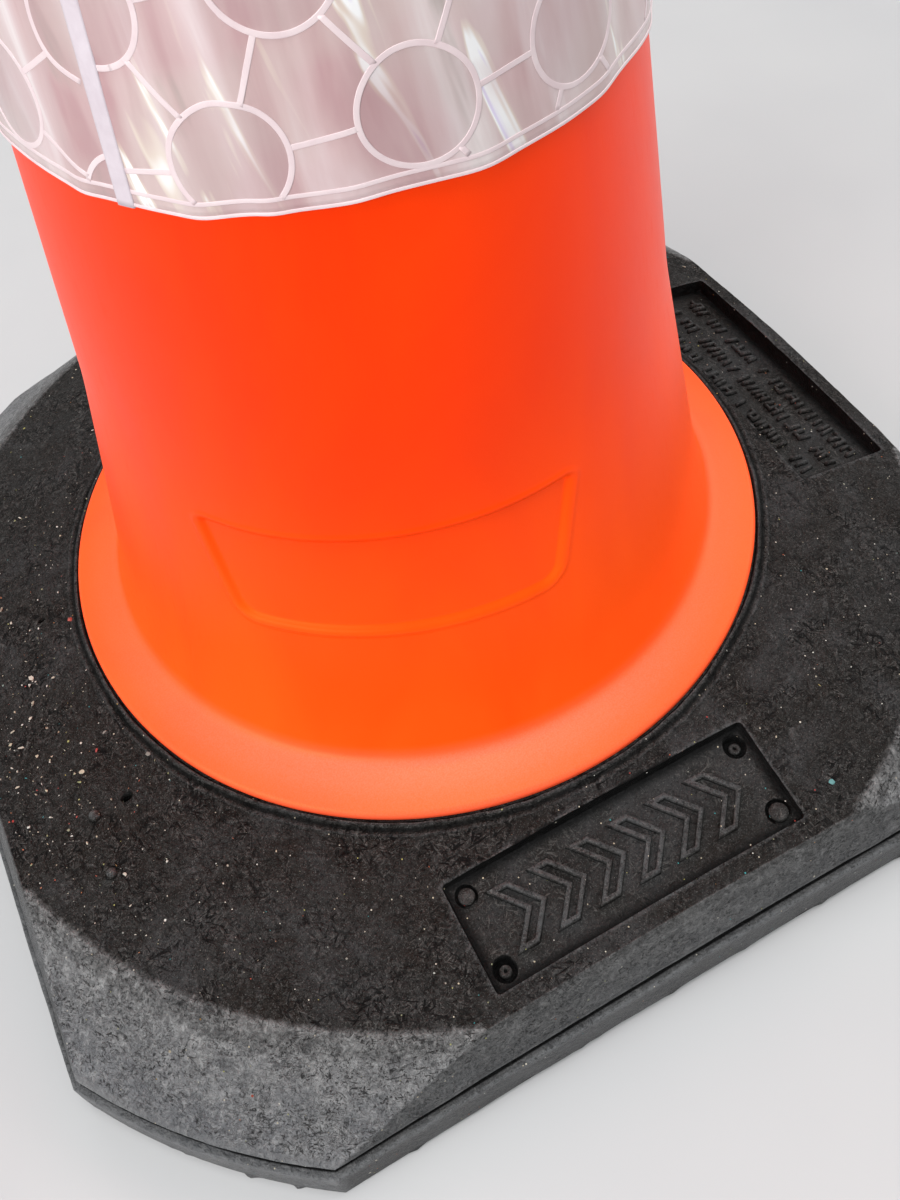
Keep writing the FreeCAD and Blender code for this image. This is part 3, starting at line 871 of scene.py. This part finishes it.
def weld_distance(x, y):
    """Distance to the middle of the nearest ring, and to the nearest welded line."""
    centres = ring_centres()
    near = np.full(len(x), 1e9)
    for cx, cy in centres.values():
        near = np.minimum(near, np.hypot(x - cx, y - cy))
    to_weld = np.abs(near - RING_RADIUS)
    for (i, j), (cx, cy) in centres.items():
        for ax, ay in links_from(centres, i, j):
            along = np.clip((x - cx) * ax + (y - cy) * ay, RING_RADIUS, RING_PITCH - RING_RADIUS)
            to_weld = np.minimum(to_weld, np.hypot(x - cx - ax * along, y - cy - ay * along))
    return near, to_weld


def on_sheet(angle, z):
    """True inside the borders of the sheet."""
    return ((np.abs(angle - SHEET_MIDDLE) < math.pi - 0.015)
            & (z > SLEEVE_LOW + BORDER) & (z < SLEEVE_HIGH - BORDER))


def weld_ribbon(pile, angle, z, half_width, height, closed=False, flat=0.8):
    """Low raised ribbon along a path on the film; flat is the share of it that is level."""
    middle = film_point(angle, z)
    ahead = np.gradient(middle, axis=0)
    if closed:
        ahead = np.roll(middle, -1, axis=0) - np.roll(middle, 1, axis=0)
    normal = np.column_stack([np.cos(angle), np.sin(angle), np.full(len(angle), TAPER)])
    side = np.cross(ahead, normal)
    side /= np.linalg.norm(side, axis=1)[:, None]
    section = [(-1, -0.25), (-flat, height * 0.7), (0.2 - flat, height),
               (flat - 0.2, height), (flat, height * 0.7), (1, -0.25)]
    rows = [middle + side * half_width * s + normal * h for s, h in section]
    count = len(middle)
    faces = grid_quads(len(rows), count, close_rows=True, close_columns=closed).tolist()
    if not closed:
        faces.append([row * count for row in range(len(rows))])
        faces.append([row * count + count - 1 for row in range(len(rows))][::-1])
    pile.add(np.concatenate(rows), faces)


def runs(inside):
    """Start and end of each stretch of True values at least four long."""
    edges = np.flatnonzero(np.diff(np.concatenate([[0], inside.astype(int), [0]])))
    return [(a, b) for a, b in zip(edges[::2], edges[1::2]) if b - a >= 4]


def weld_lines():
    """Rings and lines of the weld, and the welded and cut borders at both ends."""
    pile = Pile()
    for path, height in weld_paths():
        angle, z = sleeve_place(*path.T)
        inside = on_sheet(angle, z)
        if inside.all() and np.allclose(path[0], path[-1]):
            weld_ribbon(pile, angle[:-1], z[:-1], WELD_HALF_WIDTH, height, closed=True, flat=0.94)
            continue
        for a, b in runs(inside):
            weld_ribbon(pile, angle[a:b], z[a:b], WELD_HALF_WIDTH, height, flat=0.94)
    around = np.linspace(0, TAU, 500, endpoint=False)
    for z in (SLEEVE_LOW + BORDER, SLEEVE_HIGH - BORDER):
        weld_ribbon(pile, around, np.full(len(around), z), 0.60, 0.07, closed=True, flat=0.94)
    for z in (SLEEVE_LOW + 0.35, SLEEVE_HIGH - 0.35):
        weld_ribbon(pile, around, np.full(len(around), z), 0.55, 0.14, closed=True)
    return pile.build("sleeve_weld_lines")


def layer(inset, thickness, rows, columns):
    """One closed sheet of the sleeve that follows the folds, and where its outer points are."""
    angle = np.linspace(0, TAU, columns, endpoint=False) + math.radians(SEAM_ANGLE)
    z = np.linspace(SLEEVE_LOW, SLEEVE_HIGH, rows)
    a, h = np.tile(angle, rows), np.repeat(z, columns)
    outer = film_point(a, h, inset + thickness - FILM_INSET)
    inner = film_point(a, h, inset - FILM_INSET)
    count = rows * columns
    faces = grid_quads(rows, columns).tolist()
    faces += (grid_quads(rows, columns)[:, ::-1] + count).tolist()
    here = np.arange(columns)
    ahead = (here + 1) % columns
    last = (rows - 1) * columns
    faces += np.column_stack([ahead, here, count + here, count + ahead]).tolist()
    faces += (last + np.column_stack([here, ahead, count + ahead, count + here])).tolist()
    points = np.concatenate([outer, inner])
    return points, facing_out(points, faces), a, h


def sleeve_film():
    """Prismatic front sheet: each cell between the welds is puffed out a little."""
    points, faces, angle, z = layer(inset=1.0, thickness=FILM_INSET - 1.0, rows=145, columns=340)
    x, y = sheet_place(angle, z)
    near, to_weld = weld_distance(x, y)
    to_weld = np.minimum(to_weld, np.minimum(z - SLEEVE_LOW, SLEEVE_HIGH - z) - BORDER)
    puff = 0.14 * smoothstep(0.5, 7.0, to_weld) - 0.04
    points[:len(angle)] += np.column_stack([np.cos(angle), np.sin(angle), 0 * angle]) * puff[:, None]
    made = add_object("sleeve_film_front", points, faces)
    paint(made, "ring", np.tile(1 - smoothstep(RING_RADIUS - 0.4, RING_RADIUS + 0.4, near), 2))
    turn = np.mod(angle - math.radians(SEAM_ANGLE), TAU)
    place = np.column_stack([turn * WALL_RADIUS * 0.7, z, folds(angle, z)]) * MM
    flat = made.data.attributes.new("sheet", "FLOAT_VECTOR", "POINT")
    flat.data.foreach_set("vector", np.concatenate([place, place]).ravel())
    return made


def sleeve_back():
    """Backing sheet, a smooth copy of the film's folds close to the body."""
    points, faces = layer(inset=0.4, thickness=0.5, rows=90, columns=300)[:2]
    return add_object("sleeve_backing_sheet", points, faces)


def sleeve_lap():
    """Welded lap down the join of the sheet."""
    pile = Pile()
    z = np.linspace(SLEEVE_LOW - 0.6, SLEEVE_HIGH + 0.4, 170)
    wander = np.radians(SEAM_ANGLE + 0.10 * np.sin(z / 31.0))
    weld_ribbon(pile, wander, z, 2.7, 0.30, flat=0.93)
    return pile.build("sleeve_seam_lap")


# ---- materials ------------------------------------------------------------------------
def as_colour(value):
    """A grey level or an RGB triple as RGBA; a socket comes back as it is."""
    if isinstance(value, (int, float)):
        return (value, value, value, 1)
    return (*value, 1) if isinstance(value, tuple) else value


class Look:
    """A material being built: a Principled shader and the nodes that feed it."""

    def __init__(self, name):
        self.material = bpy.data.materials.new(name)
        self.material.use_nodes = True
        self.tree = self.material.node_tree
        self.shader = self.tree.nodes["Principled BSDF"]

    def node(self, kind, settings=None, **inputs):
        made = self.tree.nodes.new("ShaderNode" + kind)
        for key, value in (settings or {}).items():
            setattr(made, key, value)
        for key, value in inputs.items():
            self.feed(made.inputs[key.replace("_", " ")], value)
        return made

    def feed(self, socket, value):
        if isinstance(value, bpy.types.NodeSocket):
            self.tree.links.new(value, socket)
        else:
            socket.default_value = value

    def set(self, **inputs):
        for key, value in inputs.items():
            self.feed(self.shader.inputs[key.replace("_", " ")], value)

    def math(self, operation, a, b=0.0, c=0.0):
        made = self.tree.nodes.new("ShaderNodeMath")
        made.operation = operation
        for socket, value in zip(made.inputs, (a, b, c)):
            self.feed(socket, value)
        return made.outputs[0]

    def times(self, a, b, plus=None):
        """The product of two values, with a third added where one is given."""
        if plus is None:
            return self.math("MULTIPLY", a, b)
        return self.math("MULTIPLY_ADD", a, b, plus)

    def mix(self, factor, a, b, blend="MIX"):
        """Colour between a and b, or b blended over a."""
        made = self.node("Mix", {"data_type": "RGBA", "blend_type": blend})
        for index, value in ((0, factor), (6, as_colour(a)), (7, as_colour(b))):
            self.feed(made.inputs[index], value)
        return made.outputs[2]

    def ramp(self, factor, *stops):
        """Stops are (position, grey level or colour)."""
        made = self.tree.nodes.new("ShaderNodeValToRGB")
        self.feed(made.inputs[0], factor)
        elements = made.color_ramp.elements
        while len(elements) < len(stops):
            elements.new(0.5)
        for element, (position, value) in zip(elements, stops):
            element.position = position
            element.color = as_colour(value)
        return made.outputs[0]

    def place(self, stretch=(1, 1, 1), turn=(0, 0, 0), source=None):
        """Object coordinates in metres, turned and then stretched along their own axes."""
        start = source or self.node("TexCoord").outputs["Object"]
        made = self.tree.nodes.new("ShaderNodeMapping")
        made.vector_type = "TEXTURE"
        self.feed(made.inputs["Vector"], start)
        made.inputs["Scale"].default_value = stretch
        made.inputs["Rotation"].default_value = turn
        return made.outputs[0]

    def noise(self, vector, millimetres, detail=4.0, roughness=0.55, distortion=0.0, kind="FBM"):
        made = self.node("TexNoise", {"noise_type": kind}, Vector=vector, Scale=1000.0 / millimetres,
                         Detail=detail, Roughness=roughness, Distortion=distortion)
        return made.outputs["Fac"]

    def cells(self, vector, millimetres, feature="F1"):
        return self.node("TexVoronoi", {"feature": feature}, Vector=vector, Scale=1000.0 / millimetres)

    def bump(self, height, millimetres, strength=1.0, under=None):
        made = self.node("Bump", Height=height, Strength=strength, Distance=millimetres * MM)
        if under is not None:
            self.feed(made.inputs["Normal"], under)
        return made.outputs[0]

    def attribute(self, name, output="Fac"):
        return self.node("Attribute", {"attribute_name": name}).outputs[output]


FLECKS = ((0.0, (0.70, 0.69, 0.64)), (0.50, (0.56, 0.48, 0.34)), (0.66, (0.24, 0.24, 0.22)),
          (0.84, (0.42, 0.42, 0.12)), (0.90, (0.45, 0.05, 0.05)), (0.94, (0.60, 0.22, 0.08)),
          (0.97, (0.05, 0.34, 0.36)))


def strokes(look, millimetres, low, high, start=0.0):
    """Short fibres lying every way across the surface: 1 on a fibre, 0 beside it."""
    found = None
    for turn in (0.2, 0.95, 1.75, 2.55):
        lane = look.place((1, 5, 1), (0, 0, turn + start))
        fibres = look.ramp(look.noise(lane, millimetres, 1.5, 0.5, 0.7), (low, 0.0), (high, 1.0))
        found = fibres if found is None else look.math("MAXIMUM", found, fibres)
    return found


def crumbs(look, here, millimetres, rarity, size):
    """Sparse small spots: 1 on a spot and 0 beside it, and a random number for each spot."""
    spots = look.cells(here, millimetres)
    parts = look.node("SeparateColor", Color=spots.outputs["Color"])
    rare = look.math("GREATER_THAN", parts.outputs[0], rarity)
    small = look.math("LESS_THAN", spots.outputs["Distance"], size)
    return look.times(rare, small), parts.outputs[1]


def flecks(look, here, colour):
    """Sparse crumbs of other colours in three sizes, laid over a colour."""
    for sizes in ((4.0, 0.984, 0.12), (1.9, 0.978, 0.17), (1.2, 0.984, 0.22)):
        found, shade = crumbs(look, here, *sizes)
        colour = look.mix(found, colour, look.ramp(shade, *FLECKS))
    return colour


def rubber():
    """Moulded recycled rubber: matted crumbs and fibres, pale on the slopes and edges from wear and painted
    sheen, with painted shade in hollows.
    """
    look = Look("recycled_rubber")
    here = look.place()
    fine = look.noise(here, 1.1, 5, 0.7, 0.8)
    pebbles = look.noise(here, 2.8, 4, 0.65, 0.7)
    dents = look.noise(here, 11, 3, 0.6, 0.8)
    wear_and_sheen = look.attribute("wear_and_sheen")
    lip = look.attribute("lip")
    rough_skin = look.math("SUBTRACT", 1.0, lip)
    colour, relief = rubber_skin(look, here, fine, pebbles, rough_skin)
    dabs = look.noise(here, 5, 4, 0.7, 1.2)
    clouds = look.noise(here, 18, 4, 0.6, 0.8)
    clusters = look.ramp(look.noise(here, 9, 4, 0.65, 0.8), (0.40, 0.10), (0.58, 1.0))
    pits = look.times(strokes(look, 0.95, 0.635, 0.68, 0.25), look.times(clusters, rough_skin))
    # Grey of the slopes: partly wear, partly painted sheen, with painted highlight dabs near the crest;
    # facing halves it on the straight sides.
    wear_and_sheen_grey = look.mix(look.times(pits, 0.9), sheen_and_wear_tone(look, here, dabs, clouds), 0.025)
    wear_and_sheen_grey = look.mix(look.ramp(fine, (0.33, 0.65), (0.47, 0.0)), wear_and_sheen_grey, 0.03)
    wear_and_sheen_grey = look.mix(look.ramp(pebbles, (0.50, 0.0), (0.64, 0.50)), wear_and_sheen_grey, 0.50)
    uneven = look.times(look.math("SUBTRACT", dabs, 0.5), 0.6, wear_and_sheen)
    ragged = look.ramp(uneven, (0.05, 0.0), (0.75, 1.0))
    share = look.times(look.mix(lip, ragged, wear_and_sheen), look.times(lip, -0.28, 0.89))
    colour = look.mix(look.times(share, look.attribute("facing")), colour, wear_and_sheen_grey)
    relief = look.times(pits, -1.3, relief)
    relief = look.times(relief, look.times(wear_and_sheen, 0.9, 1.0))
    relief = look.times(relief, look.times(lip, -0.4, 1.0))
    # Painted light and shade: exposed edges lighter, partly wear and partly painted highlight; grooves, moat,
    # pocket walls and holes painted nearly black as shade.
    edge_light_and_shade = look.attribute("edge_light_and_shade")
    patchy_sheen = look.ramp(look.times(dabs, 0.5, fine), (0.62, 0.15), (0.84, 1.0))
    worn_edge_highlight = look.times(look.ramp(edge_light_and_shade, (0.1, 0.0), (1.0, 0.6)), patchy_sheen)
    colour = look.mix(worn_edge_highlight, colour, (0.20, 0.205, 0.21))
    painted_hollow_shade = look.ramp(look.times(edge_light_and_shade, -1.0), (0.1, 0.0), (0.85, 0.97))
    colour = look.mix(painted_hollow_shade, colour, 0.0015)
    gloss = look.mix(wear_and_sheen, look.ramp(pebbles, (0.32, 0.36), (0.62, 0.62)),
                     look.ramp(clouds, (0.3, 0.32), (0.7, 0.46)))
    skin = look.bump(relief, 0.60, 1.0, under=look.bump(dents, 3.0, 0.7))
    look.set(Base_Color=flecks(look, here, colour), Roughness=gloss, Normal=skin, Specular_IOR_Level=0.14)
    return look.material


def rubber_skin(look, here, fine, pebbles, rough_skin):
    """Near-black matted surface, cracked where rough_skin is 1; returns its colour and height."""
    broad = look.noise(here, 45, 4, 0.65, 1.0)
    tint = look.ramp(broad, (0.34, (0.0135, 0.0106, 0.0085)), (0.48, (0.0190, 0.0176, 0.0163)),
                     (0.64, (0.0380, 0.0380, 0.0385)))
    patches = look.ramp(look.noise(here, 20, 4, 0.65, 0.8), (0.42, 0.1), (0.60, 1.0))
    grain = look.noise(here, 0.5, 3, 0.6)
    fibres = look.times(strokes(look, 0.8, 0.62, 0.69), patches)
    cracks = look.times(strokes(look, 1.25, 0.615, 0.665, 0.7), patches)
    cracks = look.times(cracks, rough_skin)
    # Pale fibres: partly real fibres in the rubber, partly painted glints.
    colour = look.mix(look.times(fibres, 0.5), tint, (0.17, 0.165, 0.155))
    colour = look.mix(look.ramp(pebbles, (0.52, 0.0), (0.68, 0.40)), colour, (0.085, 0.084, 0.082))
    # Pale specks on the grain's peaks: painted glints.
    colour = look.mix(look.ramp(grain, (0.58, 0.0), (0.70, 0.65)), colour, (0.18, 0.177, 0.170))
    colour = look.mix(look.ramp(fine, (0.34, 0.85), (0.48, 0.0)), colour, 0.002)
    colour = look.mix(look.times(cracks, 0.95), colour, 0.0012)
    height = look.times(pebbles, 2.2, look.times(fine, 1.1))
    height = look.times(grain, 0.3, height)
    height = look.times(fibres, 0.5, height)
    return colour, look.times(cracks, -1.2, height)


def sheen_and_wear_tone(look, here, dabs, clouds):
    """Grey of the worn slopes with painted sheen: cloudy below, painted highlight dabs near the crest."""
    up = look.node("SeparateXYZ", Vector=here).outputs[2]
    upper = look.ramp(look.times(dabs, 0.016, up), (0.034, 0.0), (0.056, 1.0))
    below = look.ramp(clouds, (0.32, (0.178, 0.185, 0.198)), (0.52, (0.262, 0.267, 0.277)),
                      (0.72, (0.355, 0.357, 0.36)))
    above = look.ramp(dabs, (0.38, 0.16), (0.52, (0.29, 0.29, 0.287)), (0.68, (0.45, 0.45, 0.445)))
    return look.mix(upper, below, above)


def chip_look():
    """Hard crumbs of several colours."""
    look = Look("rubber_chip_colours")
    here = look.place()
    shades = look.ramp(look.attribute("shade"), *FLECKS)
    grime = look.noise(here, 0.8, 3)
    look.set(Base_Color=look.mix(look.times(grime, 0.45), shades, 0.03),
             Roughness=look.ramp(grime, (0.3, 0.45), (0.7, 0.7)), Normal=look.bump(grime, 0.1, 0.6))
    return look.material


def orange():
    """Satin fluorescent polyethylene with a fine moulded grain, hairline marks and specks; painted sheen on
    the flange, painted light at the foot of the wall, and a faint painted glow that is stronger at the foot.
    """
    look = Look("orange_polyethylene")
    here = look.place()
    pore = look.noise(here, 0.55, 3, 0.5)
    swirl = look.noise(look.place((1, 1, 3)), 60, 4, 0.55, 1.0)
    scuffs = look.noise(look.place((1, 1, 8)), 1.6, 6, 0.7, 0.4, "RIDGED_MULTIFRACTAL")
    deep = look.ramp(swirl, (0.3, (0.95, 0.026, 0.0)), (0.7, (1.0, 0.040, 0.0)))
    low = look.ramp(swirl, (0.3, (1.0, 0.080, 0.003)), (0.7, (1.0, 0.098, 0.005)))
    # Painted light: the wall is lighter towards its foot.
    deep = look.mix(look.attribute("foot"), deep, low)
    # Painted sheen: a paler, pinker flange, strongest on the side towards the camera, broken up by the pores.
    patchy_sheen = look.times(look.attribute("flange"), look.ramp(pore, (0.35, 0.65), (0.65, 1.0)))
    deep = look.mix(patchy_sheen, deep, (0.98, 0.195, 0.118))
    specks = crumbs(look, here, 21, 0.93, 0.035)[0]
    colour = look.mix(specks, deep, (0.25, 0.02, 0.01))
    roughness = look.times(scuffs, 0.07, look.ramp(swirl, (0.3, 0.36), (0.75, 0.44)))
    height = look.times(scuffs, 0.25, pore)
    look.set(Base_Color=colour, Roughness=roughness, Normal=look.bump(height, 0.07, 0.45))
    look.set(Specular_IOR_Level=0.45, Specular_Tint=(1.0, 0.40, 0.10, 1))
    # Painted glow: faint emission over the whole body, stronger at the foot.
    glow = look.times(look.attribute("foot"), 0.14, look.times(swirl, 0.20))
    look.set(Emission_Color=(1.0, 0.05, 0.0, 1), Emission_Strength=glow)
    return look.material


def film_look():
    """Clear prismatic film: milky streaks, tinted facets, painted iridescent flashes and a glossy face.

    Its "sheet" coordinates run round the sleeve, up it, and out with the height of the folds.
    """
    look = Look("prismatic_film")
    sheet = look.attribute("sheet", "Vector")
    upright = look.place((1, 7, 1), (0, 0, 0.10), source=sheet)
    slanted = look.place((1, 9, 1), (0, 0, 0.24), source=sheet)
    inside = look.attribute("ring")
    veil = look.noise(upright, 13, 4, 0.5, 0.35)
    flash = look.noise(slanted, 9, 3, 0.5, 0.5)
    patches = look.noise(sheet, 38, 2, 0.5, 0.3)
    base = look.ramp(veil, (0.30, (0.50, 0.29, 0.30)), (0.47, (0.62, 0.43, 0.43)),
                     (0.60, (0.70, 0.54, 0.545)), (0.74, (0.86, 0.78, 0.78)))
    warm = look.ramp(patches, (0.46, 0.0), (0.62, 1.0))
    colour = look.mix(look.times(warm, 0.22), base, (0.68, 0.66, 0.58))
    smoky = look.times(look.ramp(flash, (0.30, 0.55), (0.42, 0.0)),
                       look.ramp(patches, (0.5, 0.1), (0.6, 1.0)))
    colour = look.mix(smoky, colour, (0.33, 0.28, 0.25))
    # Painted reflection: bright yellow-white and blue flashes along slanted bands, screened over the film in
    # patches.
    painted_flash = look.ramp(flash, (0.60, 0.0), (0.63, (0.34, 0.32, 0.18)), (0.655, 0.98),
                       (0.675, 0.98), (0.69, (0.30, 0.38, 0.85)), (0.72, 0.0))
    colour = look.mix(look.ramp(patches, (0.40, 0.2), (0.56, 0.95)), colour, painted_flash, "SCREEN")
    tinted = look.mix(look.times(inside, 0.24), colour, (0.38, 0.24, 0.25))
    prisms = look.cells(sheet, 0.9, "DISTANCE_TO_EDGE").outputs["Distance"]
    relief = look.bump(look.noise(upright, 8, 2), 0.4, 0.30, under=look.bump(prisms, 0.05, 0.10))
    look.set(Base_Color=tinted, Roughness=look.ramp(veil, (0.3, 0.32), (0.7, 0.42)), Normal=relief)
    look.set(Specular_IOR_Level=0.5, Coat_Weight=0.8, Coat_Roughness=0.10, Coat_IOR=1.45)
    return look.material


def vinyl(name, light, dark, millimetres, coat=0.4):
    """Flexible vinyl with a faint mottle and a soft gloss."""
    look = Look(name)
    here = look.place()
    mottle = look.noise(here, millimetres, 5, 0.6, 0.5)
    fine = look.noise(here, 0.7, 3)
    look.set(Base_Color=look.ramp(mottle, (0.3, dark), (0.7, light)),
             Roughness=look.ramp(mottle, (0.3, 0.30), (0.7, 0.46)), Normal=look.bump(fine, 0.04, 0.4))
    look.set(Coat_Weight=coat, Coat_Roughness=0.12)
    return look.material


def floor_look():
    """Pale matt sheet."""
    look = Look("pale_floor")
    here = look.place()
    mottle = look.noise(here, 180, 3)
    look.set(Base_Color=look.ramp(mottle, (0.3, (0.545, 0.545, 0.55)), (0.7, 0.575)),
             Roughness=look.ramp(mottle, (0.3, 0.50), (0.7, 0.56)),
             Normal=look.bump(look.noise(here, 3, 2), 0.05, 0.1))
    return look.material


# ---- scene ----------------------------------------------------------------------------
def add_camera():
    """Close above one corner of the base, looking down at the foot of the cone."""
    data = bpy.data.cameras.new("camera")
    camera = bpy.data.objects.new("camera", data)
    bpy.context.scene.collection.objects.link(camera)
    right = Vector((0.88184, -0.46011, -0.10321))
    down = Vector((-0.42092, -0.66943, -0.61212))
    ahead = Vector((0.21255, 0.58323, -0.78400))
    turn = Matrix((right, -down, -ahead)).transposed().to_4x4()
    camera.matrix_world = Matrix.Translation(Vector((-0.10498, -0.31174, 0.46320))) @ turn
    data.sensor_width = 36.0
    data.lens = 35.42
    data.shift_x = 0.0154
    data.shift_y = -0.067
    data.clip_start = 0.01
    bpy.context.scene.camera = camera


def add_softbox(name, place, target, size, power):
    """White area light that faces a target."""
    data = bpy.data.lights.new(name, "AREA")
    data.shape = "RECTANGLE"
    data.size, data.size_y = size
    data.energy = power
    lamp = bpy.data.objects.new(name, data)
    lamp.location = place
    lamp.rotation_euler = (Vector(target) - Vector(place)).to_track_quat("-Z", "Y").to_euler()
    bpy.context.scene.collection.objects.link(lamp)


def add_surroundings():
    """Pale floor, soft sky and four soft lights."""
    world = bpy.data.worlds.new("studio")
    bpy.context.scene.world = world
    world.use_nodes = True
    sky = world.node_tree.nodes["Background"]
    sky.inputs["Color"].default_value = (0.96, 0.98, 1.0, 1)
    sky.inputs["Strength"].default_value = 0.42
    reach = 6000.0
    corners = [(-reach, -reach, -0.4), (reach, -reach, -0.4), (reach, reach, -0.4), (-reach, reach, -0.4)]
    floor = add_object("floor", corners, [(0, 1, 2, 3)], smooth=False)
    floor.data.materials.append(floor_look())
    add_softbox("window", (-1.9, -0.85, 1.15), (0, 0, 0.1), (1.6, 1.3), 34)
    add_softbox("ceiling", (-0.16, -0.35, 2.3), (0, -0.1, 0), (1.0, 1.0), 24)
    add_softbox("right", (1.9, 0.2, 1.3), (0, 0, 0.2), (1.3, 1.3), 20)
    add_softbox("back", (0.3, 2.2, 1.7), (0, 0, 0.3), (1.8, 1.0), 10)
    bpy.context.scene.view_settings.view_transform = "Standard"


add_camera()
add_surroundings()
black = rubber()
finish_piece(moulded_base(), "cone", "rubber", black, "rubber_base")
finish_piece(panel_relief(), "cone", "rubber", black)
finish_piece(rubber_chips(), "cone", "rubber", chip_look())
satin = orange()
finish_piece(moulded_body(), "cone", "orange_plastic", satin, "cone_body")
finish_piece(skirt_tongues(), "cone", "orange_plastic", satin)
finish_piece(sleeve_film(), "sleeve", "sleeve_film", film_look(), "sleeve_film")
white = vinyl("white_backing", (0.72, 0.70, 0.70), (0.62, 0.58, 0.58), 12)
finish_piece(sleeve_back(), "sleeve", "sleeve_backing", white, "sleeve_backing")
milky = vinyl("welded_lines", (0.86, 0.72, 0.73), (0.78, 0.62, 0.64), 9, coat=0.1)
finish_piece(weld_lines(), "sleeve", "sleeve_film", milky)
hazy = vinyl("welded_lap", (0.74, 0.66, 0.71), (0.64, 0.55, 0.60), 7, coat=0.2)
finish_piece(sleeve_lap(), "sleeve", "sleeve_seam", hazy, "sleeve_seam")
